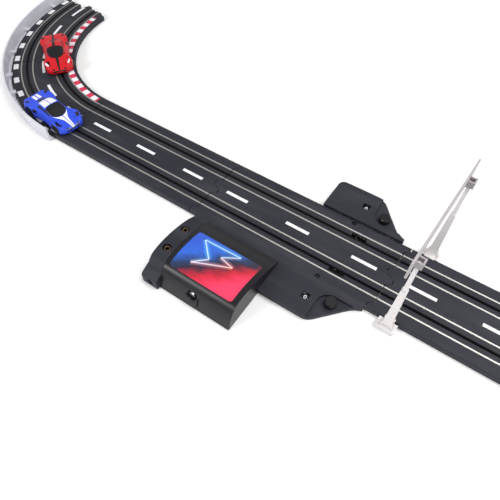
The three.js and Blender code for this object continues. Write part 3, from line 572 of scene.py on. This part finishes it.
# %% [markdown]
# ## The sticker
# The sticker lies on the arch of the battery cover. Its height is found by looking straight
# down onto the cover, so it follows the arch however the cover is shaped. The print runs from
# blue through near-black to red, corner to corner, with one plain bolt across the middle.

# %% Sticker
cover = NODES["battery_cover"]
cover_corners = [v.co for v in cover.data.vertices]
seen = BVHTree.FromPolygons(cover_corners, [tuple(p.vertices) for p in cover.data.polygons])


def on_cover(x, y):
    """The point of the cover's top at (x, y) millimetres, and its outward direction."""
    hits = []
    for dy in (-0.6, 0.0, 0.6):
        hit = seen.ray_cast(place(x, y + dy, 60), Vector((0, 0, -1)))[0]
        hits.append(hit)
    slope = hits[2] - hits[0]
    return hits[1], Vector((0, -slope.z, slope.y)).normalized()


STICKER_NEAR, STICKER_FAR, CORNER = -108.0, -61.5, 2.6
rows = []
for i in range(45):
    y = STICKER_NEAR + (STICKER_FAR - STICKER_NEAR) * i / 44
    rim = min(y - STICKER_NEAR, STICKER_FAR - y)
    cut_in = CORNER - math.sqrt(max(0.0, CORNER ** 2 - max(0.0, CORNER - rim) ** 2))
    left = 26.4 + 4.6 * (-44 - y) / 60 + cut_in
    right = 96.0 - cut_in
    rows.append([on_cover(left + (right - left) * j / 24, y) for j in range(25)])
print_finish = Finish("sticker_print", (0.02, 0.1, 0.5), 0.22, Coat_Weight=0.4, Coat_Roughness=0.1)
where = print_finish.node("ShaderNodeSeparateXYZ", None, {"Vector": print_finish.place})
u = (where / MM - (JOINT_X + 29.0)) / 67.0
v = (Wire(print_finish, where.socket.node.outputs["Y"]) / MM - (CENTRE_Y - 108.0)) / 46.5
wisp = print_finish.noise(60, 4, (1, 2, 1)) - 0.5
blend = u * 0.80 - v * 0.62 + wisp * 0.30 - 0.09
sweep = print_finish.ramp(
    blend + 0.5, (0.0, (0.014, 0.085, 0.58)), (0.26, (0.018, 0.12, 0.62)), (0.44, (0.008, 0.03, 0.10)),
    (0.54, (0.02, 0.008, 0.03)), (0.70, (0.55, 0.008, 0.03)), (0.92, (0.90, 0.035, 0.11)))


def band(centre, width):
    """1 within a distance of a line, softly 0 outside it."""
    off = centre.maths("ABSOLUTE", centre)
    return off.maths("MAXIMUM", 1.0 - off / width, 0.0)


def stroke(u0, v0, u1, v1, width):
    """A glowing straight stroke of the bolt, in the sticker's own measures."""
    run = math.hypot((u1 - u0) * 67.0, (v1 - v0) * 46.5)
    du, dv = (u1 - u0) * 67.0 / run, (v1 - v0) * 46.5 / run
    along = ((u - u0) * (67.0 * du) + (v - v0) * (46.5 * dv)) / run
    across = (u - u0) * (67.0 * dv) - (v - v0) * (46.5 * du)
    return band(across, width) * ((along > 0.0) * (along < 1.0))


BOLT = [
    (0.14, 0.88, 0.70, 0.92), (0.70, 0.92, 0.50, 0.68), (0.50, 0.68, 0.72, 0.60),
    (0.72, 0.60, 0.24, 0.26), (0.24, 0.26, 0.40, 0.50), (0.40, 0.50, 0.14, 0.88),
]
core = None
glow = None
for ends in BOLT:
    thin, wide = stroke(*ends, 0.7), stroke(*ends, 3.4)
    core = thin if core is None else core.maths("MAXIMUM", core, thin)
    glow = wide if glow is None else glow.maths("MAXIMUM", glow, wide)
warm = print_finish.ramp(blend + 0.5, (0.35, (0.10, 0.55, 1.0)), (0.6, (1.0, 0.20, 0.10)))
base = print_finish.mix(glow * 0.5, sweep, warm)
line = core.maths("MINIMUM", core * 1.6, 1.0)
print_finish.set("Base Color", print_finish.mix(line, base, print_finish.mix(0.55, warm, (0.95, 0.92, 0.95))))
print_finish.bump(print_finish.noise(900, 2), 0.02, 0.0001)
sticker = piece("battery_cover_sticker", skin(rows, 0.00012, 0.0001), print_finish, "battery_cover",
                "sticker_print")
print("sticker of", len(sticker.data.polygons), "faces")

# %% [markdown]
# ## Counter digits
# Each counter wheel carries ten digits round its top, and a window in the plate shows one of
# them. The wheel's digits turn with it. They are plain figures from Blender's own font, made
# into closed meshes as thick as paint.

# %% Digits
for side, name, top in ((-1, "near", 2.7), (1, "far", 5.9)):
    centre, window = (143.5, 53.0 * side), (138.0, 58.6 * side)
    reach = math.hypot(window[0] - centre[0], window[1] - centre[1])
    facing = math.atan2(window[1] - centre[1], window[0] - centre[0])
    for digit in range(10):
        text = bpy.data.curves.new("digit", "FONT")
        text.body = str(digit)
        text.size = 5.6 * MM
        text.extrude = 0.06 * MM
        text.offset = 0.12 * MM
        text.align_x = "CENTER"
        text.align_y = "CENTER"
        seed = bpy.data.objects.new("digit", text)
        bpy.context.scene.collection.objects.link(seed)
        bpy.context.view_layer.update()
        mesh = bpy.data.meshes.new_from_object(seed.evaluated_get(bpy.context.evaluated_depsgraph_get()))
        bpy.data.objects.remove(seed)
        turn = facing + digit * math.radians(36)
        at = place(centre[0] + reach * math.cos(turn), centre[1] + reach * math.sin(turn), top + 0.1)
        mesh.transform(Matrix.Translation(at) @ Matrix.Rotation(turn - facing, 4, "Z"))
        mesh.materials.clear()
        piece(f"{name}_counter_digit_{digit}", face_outward(mesh), white_paint, f"{name}_counter_wheel",
              "white_paint")
print("20 digits")

# %% [markdown]
# ## Trip shade plates
# Beside each slot, a lap counter's trip lever stands in a long opening. The imported base is open
# right through there, so a table would show. A thin dark plate under each opening is painted shade:
# it stands in for the shade of a deep well, as the opening looks from above.

# %% Trip shade plates
SHADE_PLATE_ENDS, SHADE_PLATE_TOP = (139.0, 158.0), 1.0
UPWARD = Vector((0, 0, 1))
for side, name in ((-1, "near"), (1, "far")):
    low, high = sorted((17.6 * side, 27.0 * side))
    rows = [[(place(s, y, SHADE_PLATE_TOP), UPWARD) for y in (low, high)] for s in SHADE_PLATE_ENDS]
    # a black sheet under the opening, painted shade standing in for a deep well
    piece(f"{name}_trip_shade_plate", skin(rows, 0.0, 0.0007), black_plastic, "track", "black_part_plastic")
print("2 trip shade plates")

# %% [markdown]
# ## Car bodies
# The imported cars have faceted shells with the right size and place. A real shell is one smooth
# moulding, so here each is lofted: a table gives the cross-section at eighteen stations from
# nose to tail, and a smooth curve runs through the table both ways. The wheel arches and the
# hollow for the chassis are then cut out of the loft.

# %% Car shape
STATIONS = [  # x, then half-width, sill, belt, shoulder y z, glass foot y z, roof edge y z, centre z
    (36.9, 2.0, 3.4, 4.0, 1.8, 4.6, 1.4, 4.8, 0.8, 4.9, 5.0),
    (36.3, 8.0, 2.6, 4.2, 6.5, 5.4, 5.0, 5.6, 3.0, 5.7, 5.8),
    (34.5, 12.2, 2.2, 4.6, 10.5, 7.2, 7.5, 7.2, 4.0, 7.3, 7.4),
    (31.0, 15.2, 2.0, 6.0, 13.2, 9.8, 9.5, 8.6, 5.0, 8.7, 8.8),
    (27.0, 16.9, 2.0, 9.0, 14.8, 12.4, 10.6, 9.6, 6.0, 9.8, 10.0),
    (23.0, 17.3, 2.0, 9.8, 15.2, 13.2, 11.0, 10.6, 7.0, 10.7, 10.9),
    (18.0, 16.7, 2.0, 7.6, 14.2, 12.7, 11.0, 11.4, 7.5, 11.7, 12.0),
    (13.0, 16.0, 2.0, 7.2, 13.4, 11.8, 10.8, 12.4, 8.0, 13.8, 14.3),
    (8.0, 15.2, 2.0, 6.8, 12.8, 11.4, 10.6, 13.2, 8.2, 16.0, 16.6),
    (3.0, 14.8, 2.0, 6.8, 12.6, 11.4, 10.4, 14.0, 8.2, 17.8, 18.6),
    (-3.0, 14.8, 2.0, 6.8, 12.8, 11.8, 10.4, 14.4, 8.0, 18.4, 19.3),
    (-9.0, 15.2, 2.0, 7.0, 13.4, 12.6, 10.6, 14.6, 7.4, 17.8, 18.8),
    (-15.0, 16.6, 2.0, 7.4, 14.4, 13.6, 10.6, 14.2, 6.6, 15.8, 16.6),
    (-21.0, 17.6, 2.0, 10.2, 15.4, 14.6, 10.8, 13.8, 6.4, 14.2, 14.6),
    (-27.0, 17.5, 2.0, 10.0, 15.2, 14.6, 10.8, 13.8, 6.4, 14.0, 14.2),
    (-32.0, 16.4, 2.4, 7.6, 13.8, 13.8, 10.4, 13.6, 6.0, 13.7, 13.8),
    (-35.5, 14.6, 3.0, 7.2, 12.2, 13.0, 9.2, 13.2, 5.4, 13.3, 13.3),
    (-37.1, 12.0, 4.0, 7.0, 10.0, 12.0, 7.6, 12.2, 4.5, 12.3, 12.3),
]


def station_at(x):
    """Where x falls in the station table, as a fraction."""
    for i in range(len(STATIONS) - 1):
        if x >= STATIONS[i + 1][0]:
            return i + (STATIONS[i][0] - x) / (STATIONS[i][0] - STATIONS[i + 1][0])
    return len(STATIONS) - 1.0


def on_shell(x, ring):
    """A point of the shell. ring is 0 on top, 1 roof edge, 2 glass foot, 3 shoulder, 4 belt, 5 sill."""
    at = station_at(x)
    half, sill, belt, ys, zs, yg, zg, yr, zr, zc = (
        curve_through([row[k] for row in STATIONS], at) for k in range(1, 11))
    across = [0.0, yr, yg, ys, half, half - 0.5]
    height = [zc, zr, zg, zs, belt, sill]
    t = abs(ring)
    y = curve_through([-yr, *across], t + 1) if t < 1 else curve_through(across, t)
    z = curve_through([zr, *height], t + 1) if t < 1 else curve_through(height, t)
    return Vector((x, math.copysign(y, ring) if t > 0.0001 else 0.0, z))


def shell_point(x, ring):
    """A point of the shell and its outward direction."""
    along = on_shell(x + 0.2, ring) - on_shell(x - 0.2, ring)
    across = on_shell(x, ring + 0.02) - on_shell(x, ring - 0.02)
    out = along.cross(across).normalized()
    return on_shell(x, ring), out


def loft():
    """The closed shell before anything is cut from it, in millimetres."""
    xs = [36.85 - 0.25 * i for i in range(8)] + [34.85 - 1.25 * i for i in range(57)]
    xs += [-35.9, -36.5, -36.9, -37.1]
    rings = [-5 + 10 * j / 64 for j in range(65)]
    points = [on_shell(x, ring) for x in xs for ring in rings]
    wide = len(rings)
    faces = [(i * wide + j, i * wide + j + 1, (i + 1) * wide + j + 1, (i + 1) * wide + j)
             for i in range(len(xs) - 1) for j in range(wide - 1)]
    faces += [(i * wide, (i + 1) * wide, (i + 1) * wide + wide - 1, i * wide + wide - 1)
              for i in range(len(xs) - 1)]
    faces += [tuple(range(wide)), tuple(reversed(range((len(xs) - 1) * wide, len(xs) * wide)))]
    mesh = bpy.data.meshes.new("loft")
    mesh.from_pydata(points, [], faces)
    return face_outward(mesh)


def tool_mesh(x0, x1, y0, y1, z0, z1):
    corners = [(x, y, z) for x in (x0, x1) for y in (y0, y1) for z in (z0, z1)]
    faces = [(0, 1, 3, 2), (4, 6, 7, 5), (0, 4, 5, 1), (2, 3, 7, 6), (0, 2, 6, 4), (1, 5, 7, 3)]
    return corners, faces


def arch_tool(x, z, radius, y0, y1):
    turns = [i * math.pi / 24 for i in range(48)]
    ring = [(x + radius * math.cos(turn), z + radius * math.sin(turn)) for turn in turns]
    corners = [(a, y, b) for y in (y0, y1) for a, b in ring]
    faces = [tuple(range(48)), tuple(range(95, 47, -1))]
    faces += [(i, (i + 1) % 48, (i + 1) % 48 + 48, i + 48) for i in range(48)]
    return corners, faces


def cut_shell():
    """The loft with the chassis hollow and the four wheel arches taken out."""
    body = bpy.data.objects.new("shell", loft())
    bpy.context.scene.collection.objects.link(body)
    tools = [tool_mesh(-33, 32.4, -10.4, 10.4, -1, 6.6), tool_mesh(-28, 28, -10.4, 10.4, 6, 9.4),
             tool_mesh(-27, 9, -6.2, 6.2, 9, 11.8)]
    for x, z, radius in ((24, 6.1, 6.15), (-22, 6.7, 6.75)):
        tools += [arch_tool(x, z, radius, -20, -10.2), arch_tool(x, z, radius, 10.2, 20)]
    cutters = []
    for corners, faces in tools:
        mesh = bpy.data.meshes.new("cutter")
        mesh.from_pydata(corners, [], faces)
        cutter = bpy.data.objects.new("cutter", face_outward(mesh))
        bpy.context.scene.collection.objects.link(cutter)
        cutters.append(cutter)
        modifier = body.modifiers.new("cut", "BOOLEAN")
        modifier.operation = "DIFFERENCE"
        modifier.solver = "EXACT"
        modifier.object = cutter
    bpy.context.view_layer.update()
    mesh = bpy.data.meshes.new_from_object(body.evaluated_get(bpy.context.evaluated_depsgraph_get()))
    for made in (body, *cutters):
        bpy.data.objects.remove(made)
    return face_outward(mesh)


shell = cut_shell()
print("shell of", len(shell.polygons), "faces")

# %% [markdown]
# ## Panels and livery
# Glass, roof, stripes, lamps and vents are all the same thing: a stretch of the shell between
# two lines, given its own finish. Each panel says how far round the shell it goes and, for each
# place round the shell, where it starts and stops along the car.


# %% Panels
def panel(first, last, start, stop, across=12, along=16):
    """A skin over the shell between two rings, from start(ring) to stop(ring) along the car."""
    rows = []
    for i in range(across + 1):
        ring = first + (last - first) * i / across
        x0, x1 = start(ring), stop(ring)
        rows.append([shell_point(x0 + (x1 - x0) * j / along, ring) for j in range(along + 1)])
    return skin(rows, 0.14, 0.25)


def strip(x0, x1, low, high, along=20, across=4):
    """A skin along the car from x0 to x1, between the rings low(x) and high(x)."""
    rows = []
    for i in range(along + 1):
        x = x0 + (x1 - x0) * i / along
        rows.append([shell_point(x, low(x) + (high(x) - low(x)) * j / across) for j in range(across + 1)])
    return skin(rows, 0.14, 0.25)


def spot(x, ring, long, wide, count=14):
    """An oval skin centred on a place of the shell."""
    rows = []
    for i in range(count + 1):
        u = -1 + 2 * i / count
        reach = math.sqrt(max(0.0, 1 - u * u)) + 0.04
        rows.append([shell_point(x + long * u, ring + wide * reach * (-1 + 2 * j / 6)) for j in range(7)])
    return skin(rows, 0.2, 0.25)


def both(make):
    """The same panel on each side of the car."""
    return [make(1), make(-1)]


def level(value):
    return lambda _: value


def fork_outer(x):
    """The outer ring of the bonnet stripe, which spreads towards the corners of the glass."""
    spread = max(0.0, (26.0 - x) / 11.8)
    return 0.42 + 0.85 * spread ** 1.7


def fork_inner(x):
    """Its inner ring: the middle line ahead of the glass, then the edge of the glass."""
    return 0.06 if x > 18.3 else math.sqrt(max(0.0, (18.3 - x) / 2.9))


PANELS = {
    "windscreen": [panel(-1.3, 1.3, lambda r: 17.8 - 2.9 * r * r, lambda r: 1.6 + 1.1 * r * r, 26, 18)],
    "side_glass": both(
        lambda s: panel(1.42 * s, 1.98 * s, lambda r: 12.6 - 7.0 * (1.98 - abs(r)), level(-2.6), 8, 12))
    + both(lambda s: panel(1.26 * s, 1.96 * s, level(-3.6), lambda r: -12.0 + 5.0 * (1.96 - abs(r)), 8, 10)),
    "engine_opening": [
        panel(-0.66, 0.66, lambda r: -15.4 - 0.6 * r * r, lambda r: -21.2 + 0.5 * r * r, 14, 8)],
    "vents": both(
        lambda s: panel(2.0 * s, 2.8 * s, lambda r: -26.0 - 1.2 * (abs(r) - 2.0), level(-30.2), 6, 5))
    + both(lambda s: panel(3.1 * s, 3.7 * s, level(-10.0), lambda r: -14.4 - 2.0 * (abs(r) - 3.1), 6, 6)),
    "lip": [panel(-3.9, 3.9, level(36.7), level(35.9), 40, 4)],
}
STRIPES = [
    strip(14.2, 36.0, fork_inner, fork_outer, 40),
    strip(14.2, 36.0, lambda x: -fork_outer(x), lambda x: -fork_inner(x), 40),
]
ROOF = [strip(0.9, -13.0, level(0.05), level(0.98)), strip(0.9, -13.0, level(-0.98), level(-0.05))]
TAIL = [strip(-23.4, -33.0, level(0.10), level(0.62)), strip(-23.4, -33.0, level(-0.62), level(-0.10))]
LAMPS = both(lambda s: spot(27.6, 2.62 * s, 2.5, 0.42))
NOSE_GAPS = both(lambda s: spot(34.6, 1.9 * s, 0.7, 0.5))


def joined(meshes, matrix):
    """Several meshes as one, moved to their car and scaled to metres."""
    work = bmesh.new()
    for mesh in meshes:
        work.from_mesh(mesh)
    made = bpy.data.meshes.new("joined")
    work.to_mesh(made)
    work.free()
    made.transform(matrix)
    return made


def car_matrix(lane, angle, yaw):
    """Takes a car's own millimetres to the frame: its pin stands in the slot at this angle."""
    turn = Matrix.Rotation(yaw - angle, 4, "Z")
    stand = Matrix.Translation(place(-STRAIGHT - CURVE_RADIUS * angle, lane))
    return stand @ turn @ Matrix.Scale(MM, 4) @ Matrix.Translation((-21.0, 0.0, 0.0))


CARS = {
    "blue_car": (car_matrix(-LANE, 0.024, -0.075), blue_paint),
    "red_car": (car_matrix(LANE, 0.642, 0.0), red_car_paint),
}
for car, (matrix, paint) in CARS.items():
    body = piece(f"{car}_shell", joined([shell], matrix), paint, car, car.split("_")[0] + "_body")
    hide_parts(f"{car}_body")
    glass = joined(PANELS["windscreen"] + PANELS["side_glass"], matrix)
    glass = piece(f"{car}_glass", glass, screen_black, car, "smoked_screen")
    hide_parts(f"{car}_windscreen")
    trims = PANELS["engine_opening"] + PANELS["vents"] + PANELS["lip"] + NOSE_GAPS
    if car == "blue_car":
        trims = trims + LAMPS
        piece(f"{car}_stripes", joined(STRIPES + ROOF + TAIL, matrix), white_paint, car, "white_paint")
    else:
        piece(f"{car}_lamps", joined(LAMPS, matrix), white_paint, car, "white_paint")
        trims = trims + [strip(17.4, 36.0, level(-0.22), level(0.22)),
                         strip(1.2, -36.6, level(-0.2), level(0.2), 40)]
    piece(f"{car}_trim", joined(trims, matrix), screen_black, car, "smoked_screen")
print("2 shells with glass, trim and livery")

# %% [markdown]
# ## Wheel trims
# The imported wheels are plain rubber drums. A trim has a rim, five spokes and a cap, so it is a
# small Geometry Nodes tree: one spoke repeated round a circle, with a swept ring outside it.
# Each trim rides on the body that turns its wheel.

# %% Wheel trims
trim = Recipe("wheel_trim", Radius=0.0036, Spokes=5, Depth=0.0006, Finish="")
across, deep = trim.given("Radius"), trim.given("Depth")
rim_line = trim.node("GeometryNodeCurvePrimitiveCircle", None, {"Resolution": 40, "Radius": across})
rim_round = trim.node("GeometryNodeCurvePrimitiveCircle", None, {"Resolution": 10, "Radius": deep * 0.5})
rim_parts = {"Curve": rim_line, "Profile Curve": rim_round, "Fill Caps": True}
rim_mesh = trim.node("GeometryNodeCurveToMesh", None, rim_parts)
hubs = trim.node("GeometryNodeMeshCircle", None, {"Vertices": trim.given("Spokes"), "Radius": across * 0.55})
spoke_size = trim.node("ShaderNodeCombineXYZ", None, {"X": across * 1.0, "Y": across * 0.2, "Z": deep * 0.8})
spoke = trim.node("GeometryNodeMeshCube", None, {"Size": spoke_size})
index = trim.node("GeometryNodeInputIndex")
spin = trim.node("ShaderNodeCombineXYZ", None, {"Z": index * (2 * math.pi) / trim.given("Spokes")})
placed = {"Points": hubs, "Instance": spoke, "Rotation": spin}
spokes = trim.node("GeometryNodeInstanceOnPoints", None, placed)
cap = trim.node("GeometryNodeMeshCylinder", None, {"Vertices": 20, "Radius": across * 0.3, "Depth": deep})
whole = trim.node("GeometryNodeJoinGeometry")
for part in (rim_mesh, spokes, cap):
    trim.tree.links.new(part.socket, whole.socket.node.inputs[0])
trim.end(whole, True)
AXLES = (("rear", -22.0, 6.7, 0.0042), ("front", 24.0, 6.1, 0.0037))  # x, z, then the trim's radius
for car, (matrix, _) in CARS.items():
    for name, x, z, radius in AXLES:
        for side, word in ((1, "left"), (-1, "right")):
            body = f"{car}_drive" if name == "rear" else f"{car}_front_{word}"
            made = grown(f"{car}_{name}_{word}_trim", trim, black_plastic, body, "black_part_plastic",
                         Radius=radius)
            stand = Matrix.Translation((x, 16.55 * side, z)) @ Matrix.Rotation(math.pi / 2, 4, "X")
            made.data.transform(matrix @ stand @ Matrix.Scale(1000, 4))
print("8 wheel trims")

# %% [markdown]
# ## The floor
# The set stands on a wide, plain, pale floor, which is only part of the stage. It lies a little
# below the track, so the two never share a surface.

# %% Floor
floor_mesh = bpy.data.meshes.new("studio_floor")
floor_mesh.from_pydata([(-6, -6, 0), (6, -6, 0), (6, 6, 0), (-6, 6, 0)], [], [(0, 1, 2, 3)])
floor = bpy.data.objects.new("studio_floor", floor_mesh)
floor.location.z = -0.0004
floor_finish = Finish("studio_floor", (0.93, 0.93, 0.93), 0.9)
floor_mesh.materials.append(floor_finish.material)
bpy.context.scene.collection.objects.link(floor)
print("floor laid")

# %% [markdown]
# ## The last update
# The view layer is updated once more, so every piece and modifier is up to date. The finishes and
# pieces must not change the size of the set.

# %% The last update
bpy.context.view_layer.update()
